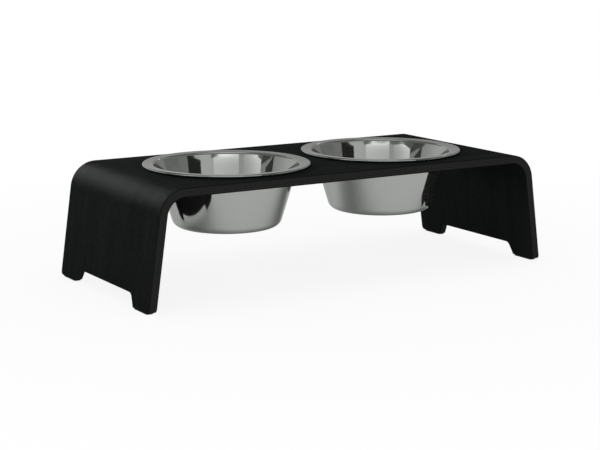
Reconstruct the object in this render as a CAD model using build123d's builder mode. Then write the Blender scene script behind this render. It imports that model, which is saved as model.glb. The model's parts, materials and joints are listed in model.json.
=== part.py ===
from build123d import *
import os
from math import cos, radians, sin, tan

# A raised dog feeding station: a bridge of moulded plywood, with two steel bowls hanging in it by their rims.
# Millimetres and degrees. +X runs along the panel and +Z is up.
# The origin is on the floor, under the middle.

os.makedirs("parts", exist_ok=True)

# Bowls
RIM_RADIUS = 101.6          # outside of the rolled rim
FLANGE_WIDTH = 15.0         # from the wall's outside, level with the panel, to the rim's edge
FLANGE_RISE = 4.0           # slope of the flange, rising outwards
BEAD_RADIUS = 1.85          # outside of the rolled bead along the rim
ROLL_ANGLE = 274.0          # how far the sheet's edge is rolled round into the bead
BOWL_DEPTH = 73.4           # from the panel's top down to the bowl's underside
WALL_LEAN = 16.9            # the wall's lean from upright, opening upwards
BASE_BEND = 11.8            # outside of the bend from the wall to the base
THROAT_BEND = 3.4           # underside of the bend from the wall to the flange
STEEL = 0.8                 # thickness of the bowls' sheet

# Stand
PANEL_HEIGHT = 139.2        # top of the panel above the floor
RIM_GAP = 21.9              # between the two rims
SIDE_MARGIN = 18.4          # panel in front of the rims, and behind them
END_MARGIN = 17.2           # flat panel past the rims, up to the bends
LEG_SPLAY = 8.2             # lean of the legs from upright, outwards
BEND_RADIUS = 33.0          # outside of the bends between the panel and the legs
CORE = 8.8                  # thickness of the plywood core
FACE_VENEER = 0.8           # thickness of each face veneer
EDGE_ROUNDING = 0.6         # softening along every edge of the sheet

# Feet, where a low cut-out divides the end of each leg
FOOT_LENGTH = 40.0          # a foot's length along the lower edge
CUT_OUT_HEIGHT = 15.0
CUT_OUT_SLANT = 28.6        # lean of the cut-out's sides from upright
CUT_OUT_ROUNDING = 8.0      # upper corners of the cut-out
FOOT_CORNER = 5.0           # rounding of a foot's outer corner
PAD_THICKNESS = 1.5
PAD_INSET = 0.8             # from the plywood's edges to the pad
PAD_CORNER = 2.5

# Clearances
HOLE_CLEARANCE = 2.2        # between the bowl's wall, level with the panel, and its hole
RIM_SEAT_GAP = 0.3          # between the rolled rim and the panel
OVERCUT = 2.0               # how far a cutting shape runs past what it cuts

# Places that follow from the sizes
sheet = CORE + 2 * FACE_VENEER
depth = 2 * (RIM_RADIUS + SIDE_MARGIN)
bowl_x = RIM_RADIUS + RIM_GAP / 2
splay = radians(LEG_SPLAY)
flat_half = bowl_x + RIM_RADIUS + END_MARGIN
corner_x = flat_half + BEND_RADIUS * tan((radians(90) - splay) / 2)
wall_radius = RIM_RADIUS - FLANGE_WIDTH
hole_radius = wall_radius + HOLE_CLEARANCE
cut_out_half = depth / 2 - FOOT_LENGTH
cut_out_top = PAD_THICKNESS + CUT_OUT_HEIGHT
bend_z = PANEL_HEIGHT - BEND_RADIUS


def leg_x(inward, z):
    """Half the stand's width at height z, on the surface that lies so far inside the outer face."""
    return corner_x + (PANEL_HEIGHT - z) * tan(splay) - inward / cos(splay)


def layer_outline(outside, inside, foot_z):
    """Closed outline of one layer of the bent sheet, seen from the front, down to the height foot_z."""
    ends = []
    with BuildLine() as outline:
        for inward in (outside, inside):
            top = PANEL_HEIGHT - inward
            path = FilletPolyline(
                (-leg_x(inward, foot_z), foot_z),
                (-leg_x(inward, top), top),
                (leg_x(inward, top), top),
                (leg_x(inward, foot_z), foot_z),
                radius=BEND_RADIUS - inward,
            )
            ends.append((path @ 0, path @ 1))
        Line(ends[0][0], ends[1][0])
        Line(ends[0][1], ends[1][1])
    return outline


def is_rounded(edge):
    """True for the edges around both faces of the sheet.

    Seams between flat and bend stay out, and so do the feet's lower edges, which the rounding runs on
    into by itself from the feet's rounded corners.
    """
    point = edge @ 0.5
    if point.Z < bend_z:
        inward = (leg_x(0, point.Z) - abs(point.X)) * cos(splay)
    elif abs(point.X) < flat_half:
        inward = PANEL_HEIGHT - point.Z
    else:
        inward = BEND_RADIUS - Vector(abs(point.X) - flat_half, point.Z - bend_z).length
    on_a_face = min(abs(inward), abs(inward - sheet)) < EDGE_ROUNDING / 10
    runs_across = edge.geom_type == GeomType.LINE and abs((edge % 0.5).Y) > 0.99
    is_cut_out_top = abs(point.Z - cut_out_top) < EDGE_ROUNDING / 10
    return on_a_face and (is_cut_out_top or not runs_across)


# Whole form of the bent and cut sheet, which its layers are then cut from
with BuildPart() as sheet_form:
    with BuildSketch(Plane.XZ):
        add(layer_outline(0, sheet, PAD_THICKNESS))
        make_face()
    extrude(amount=depth / 2, both=True)

    with BuildSketch(Plane.YZ):
        with BuildLine():
            Polyline(
                (-depth / 2, PAD_THICKNESS),
                (-depth / 2, PANEL_HEIGHT + OVERCUT),
                (depth / 2, PANEL_HEIGHT + OVERCUT),
                (depth / 2, PAD_THICKNESS),
                close=True,
            )
        make_face()
        fillet(vertices().group_by(Axis.Y)[0], radius=FOOT_CORNER)
        with BuildLine():
            slant = CUT_OUT_HEIGHT * tan(radians(CUT_OUT_SLANT))
            FilletPolyline(
                (-cut_out_half, PAD_THICKNESS),
                (-cut_out_half + slant, cut_out_top),
                (cut_out_half - slant, cut_out_top),
                (cut_out_half, PAD_THICKNESS),
                radius=CUT_OUT_ROUNDING,
            )
            Line((-cut_out_half, PAD_THICKNESS), (cut_out_half, PAD_THICKNESS))
        make_face(mode=Mode.SUBTRACT)
    extrude(amount=leg_x(0, 0) + OVERCUT, both=True, mode=Mode.INTERSECT)

    with BuildSketch(Plane.XY.offset(PANEL_HEIGHT + OVERCUT)):
        with Locations((-bowl_x, 0), (bowl_x, 0)):
            Circle(hole_radius)
    extrude(amount=-(sheet + 2 * OVERCUT), mode=Mode.SUBTRACT)
    fillet(sheet_form.edges().filter_by(is_rounded), radius=EDGE_ROUNDING)

# Face veneer on the top of the panel and the outside of the legs
with BuildPart() as outer_face_veneer:
    add(sheet_form.part)
    with BuildSketch(Plane.XZ):
        add(layer_outline(-OVERCUT, FACE_VENEER, -OVERCUT))
        make_face()
    extrude(amount=depth / 2 + OVERCUT, both=True, mode=Mode.INTERSECT)
outer_face_veneer.part.label = "outer_face_veneer"
export_step(outer_face_veneer.part, "parts/outer_face_veneer.step")

# Core of crossed plies between the two veneers
with BuildPart() as plywood_core:
    add(sheet_form.part)
    with BuildSketch(Plane.XZ):
        add(layer_outline(FACE_VENEER, FACE_VENEER + CORE, -OVERCUT))
        make_face()
    extrude(amount=depth / 2 + OVERCUT, both=True, mode=Mode.INTERSECT)
plywood_core.part.label = "plywood_core"
export_step(plywood_core.part, "parts/plywood_core.step")

# Face veneer on the underside of the panel and the inside of the legs
with BuildPart() as inner_face_veneer:
    add(sheet_form.part)
    with BuildSketch(Plane.XZ):
        add(layer_outline(FACE_VENEER + CORE, sheet + OVERCUT, -OVERCUT))
        make_face()
    extrude(amount=depth / 2 + OVERCUT, both=True, mode=Mode.INTERSECT)
inner_face_veneer.part.label = "inner_face_veneer"
export_step(inner_face_veneer.part, "parts/inner_face_veneer.step")

# Two pressed bowls, each one sheet: base, leaning wall, flange, and an edge rolled into a bead
lean = radians(WALL_LEAN)
rise = radians(FLANGE_RISE)
bead_r = RIM_RADIUS - BEAD_RADIUS
bead_z = PANEL_HEIGHT + RIM_SEAT_GAP + BEAD_RADIUS
base_z = PANEL_HEIGHT - BOWL_DEPTH


def bowl_face(inward):
    """One face of a bowl's sheet, so far in from the underside, from the base's middle to the rolled edge."""
    curl_radius = BEAD_RADIUS - STEEL + inward
    flange_end_r = bead_r - curl_radius * sin(rise)
    flange_end_z = bead_z + curl_radius * cos(rise)
    wall_r = wall_radius - inward / cos(lean)
    level = flange_end_z - PANEL_HEIGHT - tan(rise) * flange_end_r
    throat_r = (wall_r + tan(lean) * level) / (1 - tan(lean) * tan(rise))
    throat_z = flange_end_z - tan(rise) * (flange_end_r - throat_r)
    sheet_face = FilletPolyline(
        (0, base_z + inward),
        (wall_r - tan(lean) * (BOWL_DEPTH - inward), base_z + inward),
        (throat_r, throat_z),
        (flange_end_r, flange_end_z),
        radius=(BASE_BEND - inward, THROAT_BEND + inward),
    )
    curl = CenterArc((bead_r, bead_z), curl_radius, 90 + FLANGE_RISE, -ROLL_ANGLE)
    return sheet_face @ 0, curl @ 1


for name, x in (("left_bowl", -bowl_x), ("right_bowl", bowl_x)):
    with BuildPart() as bowl:
        with BuildSketch(Plane((x, 0, 0), x_dir=(1, 0, 0), z_dir=(0, -1, 0))):
            with BuildLine():
                underside = bowl_face(0)
                topside = bowl_face(STEEL)
                Line(underside[0], topside[0])
                Line(underside[1], topside[1])
            make_face()
        revolve(axis=Axis((x, 0, 0), (0, 0, 1)))
    bowl.part.label = name
    export_step(bowl.part, f"parts/{name}.step")

# Thin rubber pads under the four feet
pad_length = FOOT_LENGTH - FOOT_CORNER - 2 * PAD_INSET
pad_width = sheet / cos(splay) - 2 * PAD_INSET
pad_corner = min(PAD_CORNER, 0.45 * pad_width)
pad_x = leg_x(sheet / 2, PAD_THICKNESS)
pad_y = cut_out_half + PAD_INSET + pad_length / 2

for end, x in (("left", -pad_x), ("right", pad_x)):
    for side, y in (("front", -pad_y), ("rear", pad_y)):
        with BuildPart() as pad:
            with BuildSketch(Plane((x, y, 0))):
                RectangleRounded(pad_width, pad_length, pad_corner)
            extrude(amount=PAD_THICKNESS)
        pad.part.label = f"{side}_{end}_foot_pad"
        export_step(pad.part, f"parts/{side}_{end}_foot_pad.step")

print("length", round(2 * leg_x(0, PAD_THICKNESS), 1), "depth", round(depth, 1))
print("rim top", round(bead_z + BEAD_RADIUS, 1))
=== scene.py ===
"""Dresses a raised dog feeding station: a stand of bent black plywood with two polished steel bowls.

Lengths are in metres and angles in radians. The origin is on the floor, under the middle of the stand.
"""

import json

import bmesh
import bpy
import numpy as np
from bpy.props import FloatProperty, FloatVectorProperty, PointerProperty
from mathutils import Matrix, Vector

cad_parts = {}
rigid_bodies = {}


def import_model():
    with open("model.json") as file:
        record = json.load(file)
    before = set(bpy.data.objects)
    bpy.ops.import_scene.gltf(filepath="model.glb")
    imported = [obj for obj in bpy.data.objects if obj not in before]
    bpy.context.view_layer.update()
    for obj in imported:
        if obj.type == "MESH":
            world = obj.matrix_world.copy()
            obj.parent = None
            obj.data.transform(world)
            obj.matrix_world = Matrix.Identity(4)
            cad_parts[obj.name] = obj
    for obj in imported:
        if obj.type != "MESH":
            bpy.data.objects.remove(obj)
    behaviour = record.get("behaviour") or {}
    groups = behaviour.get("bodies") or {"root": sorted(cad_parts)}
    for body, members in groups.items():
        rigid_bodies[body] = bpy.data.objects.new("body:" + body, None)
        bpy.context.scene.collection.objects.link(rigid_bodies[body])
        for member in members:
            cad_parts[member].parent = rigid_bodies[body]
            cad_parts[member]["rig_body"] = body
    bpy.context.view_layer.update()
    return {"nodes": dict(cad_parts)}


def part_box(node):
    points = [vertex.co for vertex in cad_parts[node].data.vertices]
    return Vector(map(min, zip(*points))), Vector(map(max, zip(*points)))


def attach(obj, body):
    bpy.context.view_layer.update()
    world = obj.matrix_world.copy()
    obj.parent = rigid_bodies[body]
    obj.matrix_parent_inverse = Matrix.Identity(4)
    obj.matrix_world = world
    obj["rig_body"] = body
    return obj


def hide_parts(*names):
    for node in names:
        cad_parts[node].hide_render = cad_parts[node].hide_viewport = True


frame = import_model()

bl_info = {
    "name": "Dog Feeding Station",
    "version": (1, 0, 0),
    "blender": (4, 5, 0),
    "location": "3D View > Sidebar > Feeding Station",
    "description": "Builds the dressed feeding station and its studio around the packed model",
    "category": "Add Mesh",
}

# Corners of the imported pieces, which the dressed ones keep to
outer_low, outer_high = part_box("outer_face_veneer")
inner_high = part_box("inner_face_veneer")[1]
core_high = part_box("plywood_core")[1]
bowl_low, bowl_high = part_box("right_bowl")
pad_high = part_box("front_right_foot_pad")[1]

# Meshing
SUPPORT = 0.002         # from a rounded edge to the row of points that keeps the face beside it flat
SAME_POINT = 1e-6       # points nearer than this are welded
SHARP_ANGLE = np.radians(40)
ROUND_STEPS = 5         # points over the rounding of the sheet's edges
CORNER_STEPS = 9        # points over each rounded corner of a leg's lower outline
FOOT_STEPS = 10         # points along a foot's underside
SLANT_STEPS = 6         # points along the cut-out's slanted side
CUT_OUT_STEPS = 15      # points along half the cut-out's top
LEG_ROWS = (0, 0.02, *np.linspace(0.1, 1, 10))  # where a leg's rows lie, as shares of its length
BEND_STEPS = 33         # points over the bend between panel and leg
PANEL_STEPS = 61        # points along half a panel's front edge
PANEL_RINGS = 9         # rings of points from a bowl's hole out to the panel's border
BOWL_COLUMNS = 288      # points around a bowl
WALL_ARC_STEPS = 25     # points over each bend of a bowl's wall
WALL_STEPS = 7          # points along each straight run of a bowl's wall
BESIDE_END = 0.015      # share of such a run from its end to the point just beside it
BEAD_STEPS = 61         # points over the rolled bead
PAD_ARC_STEPS = 9       # points over each corner of a pad
PAD_ROUND_STEPS = 5     # points over the rounding of a pad's edges
PAD_RING = 0.6          # size of the ring of points inside a pad's faces
CARD_STEPS = 9          # points along each side of a card

# Nearly all of a noise's values lie between these
NOISE = (0.3, 0.7)


class StandSizes(bpy.types.PropertyGroup):
    """Sizes of the bent and cut plywood sheet."""

    panel_height: FloatProperty(
        name="Panel height", description="Top of the panel above the floor",
        default=outer_high.z, unit="LENGTH")
    depth: FloatProperty(
        name="Depth", description="Front edge to rear edge",
        default=outer_high.y - outer_low.y, unit="LENGTH")
    face_veneer: FloatProperty(
        name="Face veneer", description="Thickness of each face veneer",
        default=outer_high.z - core_high.z, unit="LENGTH")
    core: FloatProperty(
        name="Core", description="Thickness of the glued core",
        default=core_high.z - inner_high.z, unit="LENGTH")
    end_margin: FloatProperty(
        name="End margin", description="Flat panel past the rims, up to the bends",
        default=0.0172, unit="LENGTH")
    bend_radius: FloatProperty(
        name="Bend radius", description="Outside of the bends between panel and legs",
        default=0.033, unit="LENGTH")
    leg_splay: FloatProperty(
        name="Leg splay", description="Lean of the legs from upright, outwards",
        default=np.radians(8.2), unit="ROTATION")
    edge_rounding: FloatProperty(
        name="Edge rounding", description="Softening along every edge of the sheet",
        default=0.0006, unit="LENGTH")
    foot_length: FloatProperty(
        name="Foot length", description="A foot's length along the lower edge",
        default=0.040, unit="LENGTH")
    foot_corner: FloatProperty(
        name="Foot corner", description="Rounding of a foot's outer corner",
        default=0.005, unit="LENGTH")
    cut_out_height: FloatProperty(
        name="Cut-out height", description="Height of the cut-out between the feet",
        default=0.015, unit="LENGTH")
    cut_out_slant: FloatProperty(
        name="Cut-out slant", description="Lean of the cut-out's sides from upright",
        default=np.radians(28.6), unit="ROTATION")
    cut_out_rounding: FloatProperty(
        name="Cut-out rounding", description="Upper corners of the cut-out",
        default=0.008, unit="LENGTH")
    hole_clearance: FloatProperty(
        name="Hole clearance", description="Between a bowl's wall and its hole",
        default=0.0022, unit="LENGTH")


class BowlSizes(bpy.types.PropertyGroup):
    """Sizes of the pressed bowls."""

    rim_radius: FloatProperty(
        name="Rim radius", description="Outside of the rolled rim",
        default=(bowl_high.x - bowl_low.x) / 2, unit="LENGTH")
    offset: FloatProperty(
        name="Offset", description="From the stand's middle to a bowl's axis",
        default=(bowl_high.x + bowl_low.x) / 2, unit="LENGTH")
    base_height: FloatProperty(
        name="Base height", description="A bowl's underside above the floor",
        default=bowl_low.z, unit="LENGTH")
    flange_width: FloatProperty(
        name="Flange width", description="From the wall, level with the panel, to the rim's edge",
        default=0.015, unit="LENGTH")
    flange_rise: FloatProperty(
        name="Flange rise", description="Slope of the flange, rising outwards",
        default=np.radians(4), unit="ROTATION")
    bead_radius: FloatProperty(
        name="Bead radius", description="Outside of the rolled bead along the rim",
        default=0.00185, unit="LENGTH")
    roll_angle: FloatProperty(
        name="Roll angle", description="How far the sheet's edge is rolled round into the bead",
        default=np.radians(274), unit="ROTATION")
    wall_lean: FloatProperty(
        name="Wall lean", description="The wall's lean from upright, opening upwards",
        default=np.radians(16.9), unit="ROTATION")
    base_bend: FloatProperty(
        name="Base bend", description="Outside of the bend from the wall to the base",
        default=0.0118, unit="LENGTH")
    wall_flare: FloatProperty(
        name="Wall flare", description="How much further the wall leans at its top",
        default=np.radians(5.3), unit="ROTATION")
    flare_drop: FloatProperty(
        name="Flare drop", description="From the panel's top down to where the wall's two slopes meet",
        default=0.0106, unit="LENGTH")
    flare_bend: FloatProperty(
        name="Flare bend", description="Outside of the bend that flares the wall",
        default=0.190, unit="LENGTH")
    throat_bend: FloatProperty(
        name="Throat bend", description="Underside of the bend from the wall to the flange",
        default=0.0034, unit="LENGTH")
    steel: FloatProperty(
        name="Steel", description="Thickness of the bowls' sheet",
        default=0.0008, unit="LENGTH")


class PadSizes(bpy.types.PropertyGroup):
    """Sizes of the anti-slip pads."""

    corner: FloatProperty(
        name="Pad corner", description="Rounded corners of a pad, seen from below",
        default=0.0025, unit="LENGTH")
    edge_rounding: FloatProperty(
        name="Pad edge rounding", description="Softening along a pad's upper and lower edge",
        default=0.0003, unit="LENGTH")


class Finishes(bpy.types.PropertyGroup):
    """Colours and sheens of the materials."""

    veneer_dark: FloatVectorProperty(
        name="Veneer, dark grain", description="Black stain in the dark grain",
        default=(0.0041, 0.0049, 0.0047), subtype="COLOR", min=0, max=1)
    veneer_light: FloatVectorProperty(
        name="Veneer, light grain", description="Black stain in the light grain",
        default=(0.0078, 0.0094, 0.0089), subtype="COLOR", min=0, max=1)
    veneer_roughness: FloatProperty(
        name="Veneer roughness", description="Matt lacquer on the veneer",
        default=0.46, subtype="FACTOR", min=0, max=1)
    edge_dark: FloatVectorProperty(
        name="Edge, end grain", description="Stained plies whose ends show",
        default=(0.0125, 0.0127, 0.0123), subtype="COLOR", min=0, max=1)
    edge_light: FloatVectorProperty(
        name="Edge, long grain", description="Stained plies that run along the edge",
        default=(0.0235, 0.0235, 0.0229), subtype="COLOR", min=0, max=1)
    steel_colour: FloatVectorProperty(
        name="Steel", description="Polished stainless steel",
        default=(0.376, 0.391, 0.371), subtype="COLOR", min=0, max=1)
    steel_roughness: FloatProperty(
        name="Steel roughness", description="Polish of the steel",
        default=0.055, subtype="FACTOR", min=0, max=1)
    rubber_colour: FloatVectorProperty(
        name="Rubber", description="Black rubber of the pads",
        default=(0.018, 0.018, 0.019), subtype="COLOR", min=0, max=1)


class StudioSettings(bpy.types.PropertyGroup):
    """Camera, floor and light."""

    camera_place: FloatVectorProperty(
        name="Camera place", description="Where the camera stands",
        default=(-1.029756, -1.645119, 0.432890), subtype="TRANSLATION", unit="LENGTH")
    lens: FloatProperty(
        name="Lens", description="Focal length in millimetres, on a frame 36 mm wide",
        default=94.686, min=1)
    camera_yaw: FloatProperty(
        name="Yaw", description="Turn of the view to the right of +Y",
        default=np.radians(31.838), unit="ROTATION")
    camera_pitch: FloatProperty(
        name="Pitch", description="Tilt of the view below the horizon",
        default=np.radians(11.040), unit="ROTATION")
    camera_roll: FloatProperty(
        name="Roll", description="Turn of the view about its own axis",
        default=np.radians(0.056), unit="ROTATION")
    floor_colour: FloatVectorProperty(
        name="Floor", description="Pale floor",
        default=(0.82, 0.82, 0.82), subtype="COLOR", min=0, max=1)
    floor_size: FloatProperty(
        name="Floor size", description="Side of the square floor",
        default=80.0, unit="LENGTH")
    seen_white: FloatProperty(
        name="White to the eye", description="Plain white in the near floor, as the camera sees it",
        default=0.88, subtype="FACTOR", min=0, max=1)
    # This share holds along the middle of the strip of painted shade under the stand, as steel mirrors
    # the floor
    mirrored_white: FloatProperty(
        name="White in mirrors", description="Plain white in the near floor, as steel mirrors it",
        default=0.10, subtype="FACTOR", min=0, max=1)
    shadow_reach: FloatProperty(
        name="Shadow reach", description="From the middle to where the floor is plain white",
        default=0.95, unit="LENGTH")
    room_level: FloatProperty(
        name="Room level", description="Plain light from all round that fills the softboxes' shadows",
        default=0.62, min=0)


def rounded_path(corners, radii, steps, straight_steps):
    """Points along straight runs joined by tangent arcs, one arc at each inner corner.

    Each arc starts and ends a tangent's length from its corner: radius times the tangent of half the
    turn. A straight run gets points at even shares of its length, and one more just beside each end.
    """
    corners = np.asarray(corners, float)
    runs = np.diff(corners, axis=0)
    headings = np.arctan2(runs[:, 1], runs[:, 0])
    even = np.linspace(0, 1, straight_steps)[1:-1]
    shares = np.concatenate([[0, BESIDE_END], even, [1 - BESIDE_END, 1]])
    path, start = [], corners[0]
    for corner, radius, before, after in zip(corners[1:], radii, headings, headings[1:]):
        turn = (after - before + np.pi) % (2 * np.pi) - np.pi
        tangent = radius * np.tan(abs(turn) / 2)
        arc_start = corner - tangent * np.array([np.cos(before), np.sin(before)])
        side = np.sign(turn)
        centre = arc_start + side * radius * np.array([-np.sin(before), np.cos(before)])
        angles = before - side * np.pi / 2 + np.linspace(0, turn, steps)
        arc = centre + radius * np.stack([np.cos(angles), np.sin(angles)], -1)
        path += [start + shares[:-1, None] * (arc_start - start), arc[:-1]]
        start = arc[-1]
    path.append(start + shares[:, None] * (corners[-1] - start))
    return np.concatenate(path)


class Sheet:
    """The stand's sheet laid out flat.

    s runs along the outer face from the middle of the panel to a foot, y from front to rear, and w
    inwards from the outer face. An inset pulls every border in, which rounds the sheet's edges.
    """

    def __init__(self, sizes, bowls):
        self.height = sizes.panel_height
        self.half_depth = sizes.depth / 2
        self.radius = sizes.bend_radius
        self.splay = sizes.leg_splay
        self.turn = np.pi / 2 - self.splay
        self.bowl_x = bowls.offset
        self.hole_radius = bowls.rim_radius - bowls.flange_width + sizes.hole_clearance
        self.flat_half = bowls.offset + bowls.rim_radius + sizes.end_margin
        self.bend_end = self.flat_half + self.radius * self.turn
        self.foot_line = self.lower_outline(sizes)

    def lower_outline(self, sizes):
        """The leg's lower outline from front to rear, as y, z, and the normal into the sheet.

        It is an arc at the foot's corner, the foot's straight underside, the cut-out's slanted side, an
        arc and half the cut-out's straight top, and then the same mirrored.
        """
        foot_z = pad_high.z
        top_z = foot_z + sizes.cut_out_height
        slant = sizes.cut_out_slant
        corner_y = -self.half_depth + sizes.foot_corner
        cut_y = -self.half_depth + sizes.foot_length
        arc = np.pi + np.linspace(0, np.pi / 2, CORNER_STEPS)
        corner = np.stack([
            corner_y + sizes.foot_corner * np.cos(arc),
            foot_z + sizes.foot_corner * (1 + np.sin(arc)),
            -np.cos(arc),
            -np.sin(arc)])
        under = np.zeros((4, FOOT_STEPS))
        under[0] = np.linspace(corner_y, cut_y, FOOT_STEPS + 1)[1:]
        under[1] = foot_z
        under[3] = 1
        tangent = sizes.cut_out_rounding * np.tan((np.pi / 2 - slant) / 2)
        side = np.linspace(0, sizes.cut_out_height / np.cos(slant) - tangent, SLANT_STEPS)
        slanted = np.stack([
            cut_y + side * np.sin(slant),
            foot_z + side * np.cos(slant),
            np.full(SLANT_STEPS, -np.cos(slant)),
            np.full(SLANT_STEPS, np.sin(slant))])
        mitre = (slanted[2:, 0] + under[2:, -1]) / (1 + slanted[2:, 0] @ under[2:, -1])
        under[2:, -1] = mitre
        round_y = cut_y + sizes.cut_out_height * np.tan(slant) + tangent
        arc = np.linspace(np.pi - slant, np.pi / 2, CORNER_STEPS)
        upper = np.stack([
            round_y + sizes.cut_out_rounding * np.cos(arc),
            top_z - sizes.cut_out_rounding * (1 - np.sin(arc)),
            np.cos(arc),
            np.sin(arc)])
        top = np.zeros((4, CUT_OUT_STEPS))
        top[0] = np.linspace(round_y, 0, CUT_OUT_STEPS + 1)[1:]
        top[1] = top_z
        top[3] = 1
        half = np.concatenate([corner, under, slanted[:, 1:], upper[:, 1:], top], axis=1)
        mirrored = half[:, -2::-1] * np.array([[-1], [1], [-1], [1]])
        return np.concatenate([half, mirrored], axis=1)

    def place(self, s, y, w):
        """Where a point of the flat pattern lies on the bent sheet.

        Up to the bend x is s and z is the panel's height less w. Over the bend the point goes round the
        bend's axis at the radius less w. Past it, it runs straight down the splayed leg.
        """
        along = np.abs(s)
        turn = np.clip((along - self.flat_half) / self.radius, 0, self.turn)
        past = np.maximum(along - self.bend_end, 0)
        arm = self.radius - w
        x = np.minimum(along, self.flat_half) + arm * np.sin(turn) + past * np.sin(self.splay)
        z = self.height - self.radius + arm * np.cos(turn) - past * np.cos(self.splay)
        return np.stack([np.sign(s) * x, y, z], -1)

    def columns(self, inset):
        """The y of each column of points, squeezed in by the inset beside the front and rear borders."""
        y = self.foot_line[0]
        beside = np.maximum(np.abs(y) - (self.half_depth - SUPPORT), 0)
        return y - np.sign(y) * beside * inset / SUPPORT

    def leg(self, inset, w):
        """Rows from the bend's end down to the lower outline, straight down the leg at each column."""
        y, z, normal_y, normal_z = self.foot_line
        columns = self.columns(inset)

        def slope_s(level):
            drop = self.height - self.radius + (self.radius - w) * np.sin(self.splay) - level
            return self.bend_end + drop / np.cos(self.splay)

        rows = np.array(LEG_ROWS)[:, None]
        s = self.bend_end + rows * (slope_s(z + SUPPORT) - self.bend_end)
        s = np.vstack([s, slope_s(z + inset * normal_z)])
        across = np.vstack([np.broadcast_to(columns, (len(rows), len(y))), y + inset * normal_y])
        return np.stack([s, across], -1)

    def bend(self, inset):
        """Rows at even angles over the bend."""
        columns = self.columns(inset)
        s = self.flat_half + self.radius * np.linspace(0, self.turn, BEND_STEPS)
        return np.stack(np.broadcast_arrays(s[:, None], columns[None]), -1)

    def panel(self, inset):
        """Rings around a bowl's hole that turn from its circle into the rectangle of half a panel.

        A ring's point is the circle's point plus a share of the way to the rectangle's point.
        """
        columns, nominal = self.columns(inset), self.columns(0)
        along = np.linspace(self.flat_half, 0, PANEL_STEPS)
        edge_s = np.concatenate([
            np.full(len(columns), self.flat_half), along[1:], np.zeros(len(columns) - 1), along[-2::-1]])
        edge = self.half_depth - inset

        def around(sides, rear):
            front_edge = np.full(PANEL_STEPS - 1, -rear)
            return np.concatenate([sides, -front_edge, sides[-2::-1], front_edge])

        border = np.stack([edge_s, around(columns, edge)], -1)
        outline = np.stack([edge_s, around(nominal, self.half_depth)], -1)
        centre = np.array([self.bowl_x, 0])
        away = outline - centre
        direction = away / np.linalg.norm(away, axis=1, keepdims=True)
        circle = centre + (self.hole_radius + SUPPORT) * direction
        beside = centre + away * (1 - SUPPORT / self.half_depth)
        shares = np.linspace(0, 1, PANEL_RINGS)[:, None, None]
        rings = circle + shares * (beside - circle)
        hole = centre + (self.hole_radius + inset) * direction
        return np.concatenate([hole[None], rings, border[None]])

    def patches(self, stations):
        """Grids of a closed layer of the sheet, whose stations are pairs of depth and inset.

        The first and last station give the layer's two faces. The borders of all stations, side by side,
        give its edges, which are laid out flat as if the pattern went on past its border.
        """
        made = []
        for w, inset in (stations[0], stations[-1]):
            for block in (self.leg(inset, w), self.bend(inset), self.panel(inset)):
                made += self.both_ends(block, np.full(block.shape[:2], w))
        depths = np.array([w for w, inset in stations])
        blocks = [[self.leg(inset, w), self.bend(inset), self.panel(inset)] for w, inset in stations]
        flat = [[self.leg(-w, 0), self.bend(-w), self.panel(-w)] for w in depths]
        count = len(self.foot_line[0])
        half = (len(blocks[0][2][0]) - 1) // 2
        borders = (
            (0, np.s_[-1, :]), (0, np.s_[:, 0]), (0, np.s_[:, -1]), (1, np.s_[:, 0]), (1, np.s_[:, -1]),
            (2, np.s_[0, :]), (2, np.s_[-1, count - 1:half + 1]), (2, np.s_[-1, half + count - 1:]))
        for block, line in borders:
            points = np.stack([station[block][line] for station in blocks])
            laid_out = np.stack([station[block][line] for station in flat])
            w = np.broadcast_to(depths[:, None], points.shape[:2])
            made += self.both_ends(points, w, laid_out)
        return made

    def both_ends(self, block, w, laid_out=None):
        """A grid of the pattern and its mirror image, each as points, flat layout and depth."""
        laid_out = block if laid_out is None else laid_out
        mirror = np.array([-1, 1])
        return [
            (self.place(side[..., 0], side[..., 1], w), flat, w)
            for side, flat in ((block, laid_out), (block * mirror, laid_out * mirror))]


def welded_piece(name, patches, material):
    """One object from grids of points, with the flat layout as its UV map and the depth as attribute."""
    points = np.concatenate([grid.reshape(-1, 3) for grid, _, _ in patches])
    layout = np.concatenate([flat.reshape(-1, 2) for _, flat, _ in patches])
    depth = np.concatenate([np.ravel(w) for _, _, w in patches])
    faces, start = [], 0
    for grid, _, _ in patches:
        index = start + np.arange(grid.shape[0] * grid.shape[1]).reshape(grid.shape[:2])
        corners = index[:-1, :-1], index[:-1, 1:], index[1:, 1:], index[1:, :-1]
        faces.append(np.stack(corners, -1).reshape(-1, 4))
        start += index.size
    faces = np.concatenate(faces)
    mesh = bpy.data.meshes.new(name)
    mesh.from_pydata(points, [], faces)
    corner_layout = layout[faces.ravel()].ravel().astype(np.float32)
    mesh.uv_layers.new(name="layout").data.foreach_set("uv", corner_layout)
    mesh.attributes.new("depth", "FLOAT", "POINT").data.foreach_set("value", depth.astype(np.float32))
    shell = bmesh.new()
    shell.from_mesh(mesh)
    bmesh.ops.remove_doubles(shell, verts=shell.verts, dist=SAME_POINT)
    bmesh.ops.recalc_face_normals(shell, faces=shell.faces)
    shell.to_mesh(mesh)
    shell.free()
    mesh.shade_smooth()
    mesh.set_sharp_from_angle(angle=SHARP_ANGLE)
    mesh.materials.append(material)
    piece = bpy.data.objects.new(name, mesh)
    bpy.context.scene.collection.objects.link(piece)
    return piece


def stand_in(node, name, patches, finish):
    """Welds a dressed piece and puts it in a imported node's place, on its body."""
    piece = welded_piece(name, patches, finish)
    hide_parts(node)
    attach(piece, frame["nodes"][node]["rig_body"])


def set_inputs(tree, node, inputs):
    """Gives each named input of a node a value or a link."""
    for name, value in inputs.items():
        if isinstance(value, bpy.types.NodeSocket):
            tree.links.new(value, node.inputs[name])
        else:
            node.inputs[name].default_value = value


def add_node(tree, kind, inputs=None, **settings):
    """Adds a shader node with its settings and its inputs."""
    node = tree.nodes.new("ShaderNode" + kind)
    for name, value in settings.items():
        setattr(node, name, value)
    set_inputs(tree, node, inputs or {})
    return node


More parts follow.
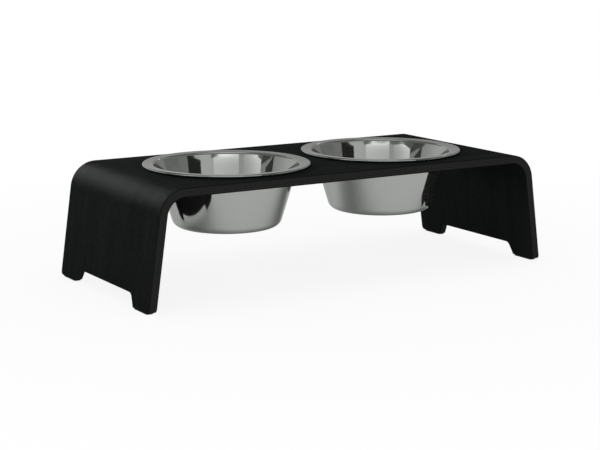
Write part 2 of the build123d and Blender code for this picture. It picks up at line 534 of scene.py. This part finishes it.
def new_finish(name):
    """A material with its node tree and its surface shader."""
    material = bpy.data.materials.new(name)
    material.use_nodes = True
    return material, material.node_tree, material.node_tree.nodes["Principled BSDF"]


def streaks(tree, layout, along, across, detail):
    """Noise drawn out along the sheet, with so many streaks to the metre along and across."""
    stretched = add_node(tree, "Mapping", {"Vector": layout, "Scale": (along, across, 1)})
    noise = add_node(
        tree, "TexNoise",
        {"Vector": stretched.outputs["Vector"], "Scale": 1.0, "Detail": detail, "Roughness": 0.6})
    return noise.outputs["Fac"]


def span(tree, value, low, high, to_low=0.0, to_high=1.0):
    """Maps a value from one range onto another, and holds it there."""
    return add_node(
        tree, "MapRange",
        {"Value": value, "From Min": low, "From Max": high, "To Min": to_low, "To Max": to_high},
        interpolation_type="SMOOTHSTEP").outputs["Result"]


def arithmetic(tree, operation, first, second=0.0):
    """One step of arithmetic on two values."""
    return add_node(tree, "Math", {0: first, 1: second}, operation=operation).outputs["Value"]


def product(tree, first, second):
    """One value times another."""
    return arithmetic(tree, "MULTIPLY", first, second)


def blend_colours(tree, factor, first, second):
    """A colour between two colours."""
    colours = {6: (*first, 1), 7: (*second, 1)}
    return add_node(tree, "Mix", {"Factor": factor, **colours}, data_type="RGBA").outputs[2]


def mingle(tree, first, share, second):
    """A share of the first value and the rest of the second."""
    return arithmetic(tree, "ADD", product(tree, first, share), product(tree, second, 1 - share))


def relief(tree, height, strength, distance):
    """The normal that a relief bends."""
    inputs = {"Height": height, "Strength": strength, "Distance": distance}
    return add_node(tree, "Bump", inputs).outputs["Normal"]


def empty_tree(holder):
    """The node tree of a new material or world, without its nodes."""
    holder.use_nodes = True
    holder.node_tree.nodes.clear()
    return holder.node_tree


def ray_kinds(tree):
    """Tells rays from the camera, and rays off a mirror or through glass."""
    rays = add_node(tree, "LightPath").outputs
    mirrored = arithmetic(tree, "MAXIMUM", rays["Is Glossy Ray"], rays["Is Transmission Ray"])
    return rays["Is Camera Ray"], mirrored


def veneer_finish(finishes):
    """Black stained veneer under matt lacquer: grain along the bent sheet, with fine open pores."""
    material, tree, shader = new_finish("black_veneer")
    layout = add_node(tree, "UVMap", uv_map="layout").outputs["UV"]
    grain = streaks(tree, layout, 9, 430, 4.0)
    growth = streaks(tree, layout, 2.2, 38, 2.0)
    pores = span(tree, streaks(tree, layout, 150, 3300, 1.0), 0.60, 0.72)
    tone = span(tree, mingle(tree, grain, 0.6, growth), 0.34, 0.66)
    tone = arithmetic(tree, "SUBTRACT", tone, product(tree, pores, 0.5))
    rough = finishes.veneer_roughness
    flecks = span(tree, streaks(tree, layout, 110, 420, 1.0), 0.52, 0.70, 0.0, 3.0)
    height = arithmetic(tree, "SUBTRACT", arithmetic(tree, "SUBTRACT", grain, pores), flecks)
    normal = relief(tree, height, 0.5, 0.0001)
    set_inputs(tree, shader, {
        "Base Color": blend_colours(tree, tone, finishes.veneer_dark, finishes.veneer_light),
        "Roughness": span(tree, grain, *NOISE, rough - 0.04, rough + 0.05),
        "Specular IOR Level": 0.0, "Coat Weight": 0.036, "Coat Roughness": 0.48,
        "Normal": normal, "Coat Normal": normal})
    return material


def ply_finish(finishes, first_depth, core, plies=7):
    """Stained edge of the core: plies whose grain runs along or into it, between thin glue lines."""
    material, tree, shader = new_finish("plywood_edge")
    layout = add_node(tree, "UVMap", uv_map="layout").outputs["UV"]
    depth = add_node(tree, "Attribute", attribute_name="depth").outputs["Fac"]
    ply = product(tree, arithmetic(tree, "SUBTRACT", depth, first_depth), plies / core)
    inside = arithmetic(tree, "FRACT", ply)
    from_glue = arithmetic(tree, "MINIMUM", inside, arithmetic(tree, "SUBTRACT", 1.0, inside))
    wood = span(tree, from_glue, 0.03, 0.10)
    crossed = arithmetic(tree, "FLOORED_MODULO", arithmetic(tree, "FLOOR", ply), 2.0)
    fibre = streaks(tree, layout, 500, 500, 2.0)
    tone = product(tree, mingle(tree, crossed, 0.55, fibre), wood)
    height = arithmetic(tree, "ADD", wood, product(tree, fibre, 0.6))
    set_inputs(tree, shader, {
        "Base Color": blend_colours(tree, tone, finishes.edge_dark, finishes.edge_light),
        "Roughness": span(tree, tone, 0.0, 1.0, 0.70, 0.58),
        "Specular IOR Level": 0.02, "Normal": relief(tree, height, 0.4, 0.00008)})
    return material


def steel_finish(finishes):
    """Polished stainless steel: faint lines around the bowl left by the polishing, and uneven sheen."""
    material, tree, shader = new_finish("polished_steel")
    layout = add_node(tree, "UVMap", uv_map="layout").outputs["UV"]
    place = add_node(tree, "TexCoord").outputs["Object"]
    lines = streaks(tree, layout, 0, 5200, 2.0)
    cloud = add_node(
        tree, "TexNoise", {"Vector": place, "Scale": 32.0, "Detail": 3.0}).outputs["Fac"]
    rough = finishes.steel_roughness
    pale = tuple(min(1, 1.05 * channel) for channel in finishes.steel_colour)
    set_inputs(tree, shader, {
        "Base Color": blend_colours(tree, cloud, finishes.steel_colour, pale),
        "Roughness": span(tree, mingle(tree, lines, 0.5, cloud), *NOISE, rough - 0.01, rough + 0.02),
        "Metallic": 0.96, "Specular Tint": (0.65, 0.65, 0.65, 1),
        "Normal": relief(tree, lines, 0.03, 0.00001)})
    return material


def rubber_finish(finishes):
    """Black rubber with a fine moulded texture."""
    material, tree, shader = new_finish("rubber")
    place = add_node(tree, "TexCoord").outputs["Object"]
    speckle = add_node(
        tree, "TexNoise", {"Vector": place, "Scale": 2200.0, "Detail": 2.0}).outputs["Fac"]
    pale = tuple(1.8 * channel for channel in finishes.rubber_colour)
    set_inputs(tree, shader, {
        "Base Color": blend_colours(tree, speckle, finishes.rubber_colour, pale),
        "Roughness": span(tree, speckle, *NOISE, 0.72, 0.88),
        "Normal": relief(tree, speckle, 0.5, 0.00005)})
    return material


def rounded_stations(thickness, rounding):
    """Depth and inset over a rounded edge: a quarter circle from the face in to the edge."""
    angle = np.linspace(0, np.pi / 2, ROUND_STEPS)
    return [(rounding * (1 - np.cos(a)), rounding * (1 - np.sin(a))) for a in angle] + [(thickness, 0.0)]


def bowl_section(bowls, panel_height):
    """Closed section of a bowl as radius and height, from its inside's middle round to its underside's.

    Each face runs straight along the base, the leaning wall, its flared top and the flange, with an arc
    at each corner, and then round the bead's axis. The inner face goes out, the outer face comes back.
    """
    lean, rise = bowls.wall_lean, bowls.flange_rise
    flared = lean + bowls.wall_flare
    bead_r = bowls.rim_radius - bowls.bead_radius
    bead_z = bowl_high.z - bowls.bead_radius
    wall_radius = bowls.rim_radius - bowls.flange_width
    faces = []
    for inward in (bowls.steel, 0.0):
        curl = bowls.bead_radius - bowls.steel + inward
        end_r, end_z = bead_r - curl * np.sin(rise), bead_z + curl * np.cos(rise)
        base_z = bowls.base_height + inward
        higher = inward * (1 / np.cos(flared) - 1 / np.cos(lean)) / (np.tan(flared) - np.tan(lean))
        flare_z = panel_height - bowls.flare_drop + higher
        flare_r = wall_radius - inward / np.cos(lean) - np.tan(lean) * (panel_height - flare_z)
        level = end_z - flare_z - np.tan(rise) * end_r
        throat_r = (flare_r + np.tan(flared) * level) / (1 - np.tan(flared) * np.tan(rise))
        throat_z = end_z - np.tan(rise) * (end_r - throat_r)
        corners = (
            (0, base_z), (flare_r - np.tan(lean) * (flare_z - base_z), base_z), (flare_r, flare_z),
            (throat_r, throat_z), (end_r, end_z))
        radii = (bowls.base_bend - inward, bowls.flare_bend + inward, bowls.throat_bend + inward)
        angles = np.pi / 2 + rise - np.linspace(0, bowls.roll_angle, BEAD_STEPS)
        bead = np.stack([bead_r + curl * np.cos(angles), bead_z + curl * np.sin(angles)], -1)
        sheet = rounded_path(corners, radii, WALL_ARC_STEPS, WALL_STEPS)
        faces.append(np.concatenate([sheet[:-1], bead]))
    return np.concatenate([faces[0], faces[1][::-1]])


def turned(section, centre_x):
    """The section carried round an upright axis, with the radius times cosine and sine as x and y."""
    turn = np.linspace(0, 2 * np.pi, BOWL_COLUMNS + 1)
    radius, height = section[:, 0, None], section[:, 1, None]
    points = np.stack(np.broadcast_arrays(
        centre_x + radius * np.cos(turn), radius * np.sin(turn), height), -1)
    length = np.concatenate([[0], np.cumsum(np.linalg.norm(np.diff(section, axis=0), axis=1))])
    layout = np.stack(np.broadcast_arrays(turn * section[:, 0].max(), length[:, None]), -1)
    return points, layout, np.zeros(points.shape[:2])


def pad_patch(low, high, corner, rounding):
    """A flat pad between two corners of its box: a rounded rectangle at each height.

    A ring's point is the corner arc's centre plus its radius times cosine and sine. The radius is drawn
    in by the rounding near the upper and lower face, and the rings of the faces shrink to the middle.
    """
    quarter = np.linspace(0, np.pi / 2, PAD_ARC_STEPS)
    angle = np.concatenate([quarter + turn * np.pi / 2 for turn in range(4)] + [[2 * np.pi]])
    side_x = np.append(np.repeat([1, -1, -1, 1], PAD_ARC_STEPS), 1)
    side_y = np.append(np.repeat([1, 1, -1, -1], PAD_ARC_STEPS), 1)
    middle, half = (np.array(low) + high) / 2, (np.array(high) - low) / 2
    arc = np.linspace(0, np.pi / 2, PAD_ROUND_STEPS)
    drawn_in = rounding * (1 - np.sin(arc))
    inset = np.concatenate([[rounding] * 2, drawn_in, drawn_in[::-1], [rounding] * 2])
    bottom, top = low[2] + rounding * (1 - np.cos(arc)), high[2] - rounding * (1 - np.cos(arc[::-1]))
    height = np.concatenate([[low[2]] * 2, bottom, top, [high[2]] * 2])
    size = np.concatenate([[0, PAD_RING], np.ones(2 * PAD_ROUND_STEPS), [PAD_RING, 0]])[:, None]
    x = middle[0] + size * (side_x * (half[0] - corner) + (corner - inset[:, None]) * np.cos(angle))
    y = middle[1] + size * (side_y * (half[1] - corner) + (corner - inset[:, None]) * np.sin(angle))
    points = np.stack([x, y, np.broadcast_to(height[:, None], x.shape)], -1)
    return points, points[..., :2], np.zeros(x.shape)


class FEEDING_OT_plywood_core(bpy.types.Operator):
    """Builds the glued core of the bent sheet, whose edge shows its plies."""

    bl_idname = "feeding.plywood_core"
    bl_label = "Plywood core"

    def execute(self, context):
        sizes = context.scene.stand_sizes
        sheet = Sheet(sizes, context.scene.bowl_sizes)
        finish = ply_finish(context.scene.finishes, sizes.face_veneer, sizes.core)
        stations = [(sizes.face_veneer, 0.0), (sizes.face_veneer + sizes.core, 0.0)]
        stand_in("plywood_core", "core_board", sheet.patches(stations), finish)
        return {"FINISHED"}


class FEEDING_OT_face_veneers(bpy.types.Operator):
    """Builds the two face veneers of the bent sheet, with their rounded edges."""

    bl_idname = "feeding.face_veneers"
    bl_label = "Face veneers"

    def execute(self, context):
        sizes = context.scene.stand_sizes
        sheet = Sheet(sizes, context.scene.bowl_sizes)
        finish = veneer_finish(context.scene.finishes)
        outer = rounded_stations(sizes.face_veneer, sizes.edge_rounding)
        whole = 2 * sizes.face_veneer + sizes.core
        inner = [(whole - w, inset) for w, inset in outer]
        for node, stations in (("outer_face_veneer", outer), ("inner_face_veneer", inner)):
            name = node.replace("face_veneer", "veneer_sheet")
            stand_in(node, name, sheet.patches(stations), finish)
        return {"FINISHED"}


class FEEDING_OT_bowls(bpy.types.Operator):
    """Builds the two pressed steel bowls with their rolled rims."""

    bl_idname = "feeding.bowls"
    bl_label = "Bowls"

    def execute(self, context):
        bowls = context.scene.bowl_sizes
        finish = steel_finish(context.scene.finishes)
        section = bowl_section(bowls, context.scene.stand_sizes.panel_height)
        for node, x in (("left_bowl", -bowls.offset), ("right_bowl", bowls.offset)):
            name = node.replace("bowl", "steel_bowl")
            stand_in(node, name, [turned(section, x)], finish)
        return {"FINISHED"}


class FEEDING_OT_foot_pads(bpy.types.Operator):
    """Builds the four rubber pads under the feet."""

    bl_idname = "feeding.foot_pads"
    bl_label = "Foot pads"

    def execute(self, context):
        pads = context.scene.pad_sizes
        finish = rubber_finish(context.scene.finishes)
        for node in sorted(name for name in frame["nodes"] if name.endswith("foot_pad")):
            name = node.replace("foot_pad", "rubber_pad")
            patch = pad_patch(*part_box(node), pads.corner, pads.edge_rounding)
            stand_in(node, name, [patch], finish)
        return {"FINISHED"}


# Softboxes: name, azimuth and elevation of the middle, width and height as seen from the lit point, all
# in degrees, and brightness, where 1 is white. Azimuth is measured from +Y towards +X. They only give
# light, and mirrors show the cards below instead.
SOFTBOXES = (
    ("overhead", 0, 88, 60, 50, 1.15),
    ("front_key", -151, 16, 46, 26, 1.6),
    ("left_key", -102.5, 31, 33, 40, 0.25),
)

# A lamp behind the stand that rakes its wood alone, given in the same way
RAKE = ("rake", -4, 12, 20, 14, 62)

# Cards that only mirrors show, each given by its left and right side: name, azimuths, elevations of the
# lower and of the upper corners, brightness at the two sides, and how much that grows towards the upper
# edge. Each card hangs a little nearer than those before it.
CARDS = (
    ("front_gap", (-129, -118), (-2, -2), (36, 36), (0.63, 0.63), 0),
    ("front_box", (-174, -128), (-2, -2), (36.85, 36.85), (1.08, 0.92), 0.75),
    ("left_box", (-119, -86.3), (-2, -2), (37.8, 30.4), (0.74, 1.2), 0.5),
    ("left_card", (-86.3, -75), (-2, -2), (25.5, 27), (0.45, 0.45), 0),
    ("left_flag", (-76.5, -61.5), (-2, -2), (21.4, 26.6), (0.05, 0.05), 0),
    ("right_card", (84, 137), (-2, -2), (22, 32), (0.29, 0.35), 0),
    ("right_flag", (137, 162), (-2, -2), (31.8, 30.9), (0.012, 0.012), 0),
    ("flag_tail", (121, 137.5), (31, 28.6), (32.6, 31.9), (0.1, 0.02), 0),
    ("front_header", (-178, -160), (34.1, 36.95), (46, 46), (0.24, 0.24), 0),
    ("left_header", (-122, -99), (35.2, 34.3), (46, 46), (0.22, 0.22), 0),
    ("left_corner", (-99, -76), (33.6, 24.3), (46, 46), (0.19, 0.17), 0),
    ("left_edge", (-86.3, -77), (24.4, 26), (27.5, 32), (0.07, 0.09), 0),
    ("left_band", (-77, -44), (26, 25.5), (32, 33), (0.09, 0.15), 0),
    ("rear_band", (-44, 0), (25.5, 20), (34, 34), (0.18, 0.3), 0),
    ("right_glow", (78, 118), (18.5, 18.5), (28, 28), (0.28, 0.28), 0),
    ("spark", (45, 47.5), (24, 24), (26.5, 26.5), (7, 7), 0),
)
LIGHT_DISTANCE = 3.2
CARD_DISTANCE = 12.0
CARD_STEP = 0.1         # how much nearer each card hangs
GROWTH_POWER = 12.0     # how late a card's growth sets in
LINE = (0.968, 0.985)   # shares of its height over which a growing card's bright upper line sets in
LINE_LEVEL = 1.35       # brightness of that line, times the card's own
LIT_POINT = Vector((0, 0, 0.1))

# The grey drum around the set, which only mirrors show too
DRUM_RADIUS = 14.0
DRUM_RISE = 36          # elevation at which its wall ends
DRUM_AZIMUTH = -10      # where its wall is brightest, as it is straight across from there
DRUM_POWER = 4.0        # how closely the brightness keeps to those two places
DRUM_LEVELS = (0.45, 0.85, 0.22, 0.9)   # wall's sides and brightest parts, lid's border and middle
WALL_TO_LID = (0.98, 0.99)      # shares of the height over which the wall turns into the lid
LID_TO_BORDER = (1.02, 1.12)    # distances, in heights, over which the lid turns from middle to border

# The floor as steel mirrors it, with a strip of painted shade under the stand: less plain white there
# lets the floor's real shadow show darker
SHADE_STRIP_HALF = 0.15       # half the strip's depth
WHITE_BESIDE = 0.64     # plain white beside the strip
NEAR = 0.25             # share of the shadow's reach over which the floor's white stays the same


def direction(azimuth, elevation):
    """Unit vector that points so far from +Y towards +X and so far up, in degrees."""
    a, e = np.radians(azimuth), np.radians(elevation)
    return Vector((np.sin(a) * np.cos(e), np.cos(a) * np.cos(e), np.sin(e)))


def side(angle):
    """Length of a side that is seen under that angle, in degrees, from the lit point."""
    return 2 * LIGHT_DISTANCE * np.tan(np.radians(angle) / 2)


def add_softbox(name, azimuth, elevation, width, height, brightness):
    """A rectangular lamp that faces the object, as bright as white times its brightness."""
    lamp = bpy.data.lights.new(name, "AREA")
    lamp.shape = "RECTANGLE"
    lamp.size, lamp.size_y = side(width), side(height)
    lamp.energy = np.pi * brightness * lamp.size * lamp.size_y
    softbox = bpy.data.objects.new(name, lamp)
    towards = direction(azimuth, elevation)
    softbox.location = LIT_POINT + LIGHT_DISTANCE * towards
    softbox.rotation_mode = "QUATERNION"
    softbox.rotation_quaternion = (-towards).to_track_quat("-Z", "Y")
    softbox.visible_camera = False
    softbox.visible_glossy = False
    bpy.context.scene.collection.objects.link(softbox)
    return softbox


def add_rake():
    """The lamp whose sheen shows the bends, linked to the wood alone."""
    lamp = add_softbox(*RAKE)
    lamp.visible_glossy = True
    wood = bpy.data.collections.new("wood")
    for name in ("outer_veneer_sheet", "inner_veneer_sheet", "core_board"):
        wood.objects.link(bpy.data.objects[name])
    lamp.light_linking.receiver_collection = wood


def glow(name, level):
    """A glowing material, whose strength comes from a function that adds its nodes."""
    material = bpy.data.materials.new(name)
    tree = empty_tree(material)
    shine = add_node(tree, "Emission", {"Color": (1, 1, 1, 1), "Strength": level(tree)})
    add_node(tree, "OutputMaterial", {"Surface": shine.outputs[0]})
    return material


def show_in_mirrors_alone(card):
    """Hides a stage piece from all but glossy rays, so that it takes no light away."""
    for kind in ("camera", "diffuse", "shadow", "transmission", "volume_scatter"):
        setattr(card, f"visible_{kind}", False)


def add_card(name, azimuths, lower, upper, sides, growth, distance):
    """A card between four directions, whose brightness runs from side to side and grows upwards.

    Its grid runs at even steps of azimuth and elevation, all at one distance. The brightness is
    multiplied by one plus the growth times a power of the height's share, and by the line's level.
    """
    def level(tree):
        layout = add_node(tree, "UVMap", uv_map="layout").outputs["UV"]
        across, up, _ = add_node(tree, "SeparateXYZ", {"Vector": layout}).outputs
        plain = span(tree, across, 0, 1, *sides)
        rim = product(tree, arithmetic(tree, "POWER", up, GROWTH_POWER), growth)
        grown = product(tree, plain, arithmetic(tree, "ADD", rim, 1.0))
        line = span(tree, up, *LINE, 1.0, LINE_LEVEL if growth else 1.0)
        return product(tree, grown, line)

    shares = np.linspace(0, 1, CARD_STEPS)
    across, up = np.meshgrid(shares, shares)
    lowest, highest = np.interp(across, (0, 1), lower), np.interp(across, (0, 1), upper)
    azimuth = np.radians(np.interp(across, (0, 1), azimuths))
    elevation = np.radians(lowest + up * (highest - lowest))
    grid = np.array(LIT_POINT) + distance * np.stack([
        np.sin(azimuth) * np.cos(elevation), np.cos(azimuth) * np.cos(elevation), np.sin(elevation)], -1)
    patch = grid, np.stack([across, up], -1), np.zeros_like(up)
    show_in_mirrors_alone(welded_piece(name, [patch], glow(name, level)))


def add_drum():
    """A drum turned from its wall and its lid, brightest at one azimuth and across from it."""
    height = LIT_POINT.z + DRUM_RADIUS * np.tan(np.radians(DRUM_RISE))

    def level(tree):
        dim, bright, border, middle = DRUM_LEVELS
        place = add_node(tree, "TexCoord").outputs["Object"]
        axis = direction(DRUM_AZIMUTH, 0) / DRUM_RADIUS
        along = add_node(
            tree, "VectorMath", {0: place, 1: axis}, operation="DOT_PRODUCT").outputs["Value"]
        ends = arithmetic(tree, "POWER", arithmetic(tree, "ABSOLUTE", along), DRUM_POWER)
        wall = arithmetic(tree, "ADD", product(tree, ends, bright - dim), dim)
        rise = add_node(tree, "SeparateXYZ", {"Vector": place}).outputs["Z"]
        away = add_node(tree, "VectorMath", {0: place}, operation="LENGTH").outputs["Value"]
        lid = span(tree, away, *(share * height for share in LID_TO_BORDER), middle, border)
        return span(tree, rise, *(share * height for share in WALL_TO_LID), wall, lid)

    section = np.array([
        (DRUM_RADIUS, 0), (DRUM_RADIUS, WALL_TO_LID[0] * height), (DRUM_RADIUS, height), (0, height)])
    show_in_mirrors_alone(welded_piece("drum", [turned(section, 0)], glow("drum", level)))


def add_camera(studio):
    """A camera turned by yaw, then pitch, then roll, that stands where the photograph was taken."""
    yaw, pitch, roll = studio.camera_yaw, studio.camera_pitch, studio.camera_roll
    forward = Vector((np.sin(yaw) * np.cos(pitch), np.cos(yaw) * np.cos(pitch), -np.sin(pitch)))
    level = Vector((np.cos(yaw), -np.sin(yaw), 0))
    upright = level.cross(forward)
    right = np.cos(roll) * level + np.sin(roll) * upright
    up = np.cos(roll) * upright - np.sin(roll) * level
    lens = bpy.data.cameras.new("camera")
    lens.sensor_width = 36
    lens.lens = studio.lens
    lens.clip_end = 2 * studio.floor_size
    camera = bpy.data.objects.new("camera", lens)
    turn = Matrix((right, up, -forward)).transposed()
    camera.matrix_world = Matrix.Translation(studio.camera_place) @ turn.to_4x4()
    bpy.context.scene.collection.objects.link(camera)
    bpy.context.scene.camera = camera


def floor_finish(studio):
    """Pale floor that looks nearly white to the eye and in mirrors, and keeps the object's shadow.

    The share of plain white grows from its value near the object to the whole, out where no shadow
    falls. In mirrors the share drops along a strip under the stand, which paints shade there on top of
    the floor's real shadow. Rays that only carry light meet plain paint.
    """
    material = bpy.data.materials.new("studio_floor")
    tree = empty_tree(material)
    place = add_node(tree, "TexCoord").outputs["Object"]
    away = add_node(tree, "VectorMath", {0: place}, operation="LENGTH").outputs["Value"]
    from_camera, mirrored = ray_kinds(tree)
    near = NEAR * studio.shadow_reach
    seen = span(tree, away, near, studio.shadow_reach, studio.seen_white, 1.0)
    forward = add_node(tree, "SeparateXYZ", {"Vector": place}).outputs["Y"]
    depth = arithmetic(tree, "ABSOLUTE", forward)
    # Painted shade: in mirrors, less plain white along a strip under the stand, so the floor shows
    # darker there on top of its real shadow
    beside = span(tree, depth, 0.0, SHADE_STRIP_HALF, studio.mirrored_white, WHITE_BESIDE)
    in_mirrors = arithmetic(tree, "MAXIMUM", beside, span(tree, away, near, studio.shadow_reach))
    share = arithmetic(tree, "MAXIMUM", product(tree, from_camera, seen),
                       product(tree, mirrored, in_mirrors))
    painted = add_node(tree, "BsdfDiffuse", {"Color": (*studio.floor_colour, 1)})
    white = add_node(tree, "Emission", {"Color": (1, 1, 1, 1), "Strength": 1.0})
    mixed = add_node(tree, "MixShader", {0: share, 1: painted.outputs[0], 2: white.outputs[0]})
    add_node(tree, "OutputMaterial", {"Surface": mixed.outputs[0]})
    return material


def room_finish(studio):
    """Plain grey light all round, which shows as white to the camera, in mirrors and through glass."""
    world = bpy.data.worlds.new("studio_room")
    tree = empty_tree(world)
    level = (studio.room_level,) * 3 + (1,)
    room = add_node(tree, "Background", {"Color": level})
    white = add_node(tree, "Background", {"Color": (1, 1, 1, 1)})
    seen = arithmetic(tree, "MAXIMUM", *ray_kinds(tree))
    mixed = add_node(tree, "MixShader", {0: seen, 1: room.outputs[0], 2: white.outputs[0]})
    add_node(tree, "OutputWorld", {"Surface": mixed.outputs[0]})
    return world


class FEEDING_OT_studio(bpy.types.Operator):
    """Builds the pale floor, the softboxes and cards, the plain room and the camera."""

    bl_idname = "feeding.studio"
    bl_label = "Studio"

    def execute(self, context):
        studio = context.scene.studio_settings
        edge = np.array([-0.5, 0.5]) * studio.floor_size
        x, y = np.meshgrid(edge, edge)
        grid = np.stack([x, y, np.zeros_like(x)], -1)
        floor = welded_piece("floor", [(grid, grid[..., :2], np.zeros_like(x))], floor_finish(studio))
        for softbox in SOFTBOXES:
            add_softbox(*softbox)
        add_rake()
        for count, card in enumerate(CARDS):
            add_card(*card, CARD_DISTANCE - CARD_STEP * count)
        add_drum()
        context.scene.world = room_finish(studio)
        context.scene.view_settings.view_transform = "Standard"
        add_camera(studio)
        return {"FINISHED"}


class VIEW3D_PT_feeding_station(bpy.types.Panel):
    """Lists the steps that build the feeding station."""

    bl_label = "Feeding Station"
    bl_space_type = "VIEW_3D"
    bl_region_type = "UI"
    bl_category = "Feeding Station"

    def draw(self, context):
        for step in STEPS:
            self.layout.operator(step.bl_idname)
        for group in GROUPS:
            settings = getattr(context.scene, group)
            for name in settings.bl_rna.properties.keys():
                if name not in ("rna_type", "name"):
                    self.layout.prop(settings, name)


STEPS = (
    FEEDING_OT_plywood_core,
    FEEDING_OT_face_veneers,
    FEEDING_OT_bowls,
    FEEDING_OT_foot_pads,
    FEEDING_OT_studio,
)
GROUPS = {
    "stand_sizes": StandSizes,
    "bowl_sizes": BowlSizes,
    "pad_sizes": PadSizes,
    "finishes": Finishes,
    "studio_settings": StudioSettings,
}


def register():
    for group, settings in GROUPS.items():
        bpy.utils.register_class(settings)
        setattr(bpy.types.Scene, group, PointerProperty(type=settings))
    for step in STEPS:
        bpy.utils.register_class(step)
    bpy.utils.register_class(VIEW3D_PT_feeding_station)


def unregister():
    bpy.utils.unregister_class(VIEW3D_PT_feeding_station)
    for step in reversed(STEPS):
        bpy.utils.unregister_class(step)
    for group, settings in reversed(GROUPS.items()):
        delattr(bpy.types.Scene, group)
        bpy.utils.unregister_class(settings)


def main():
    """Builds every piece and the studio."""
    register()
    bpy.ops.feeding.plywood_core()
    bpy.ops.feeding.face_veneers()
    bpy.ops.feeding.bowls()
    bpy.ops.feeding.foot_pads()
    bpy.ops.feeding.studio()


if __name__ == "__main__":
    main()
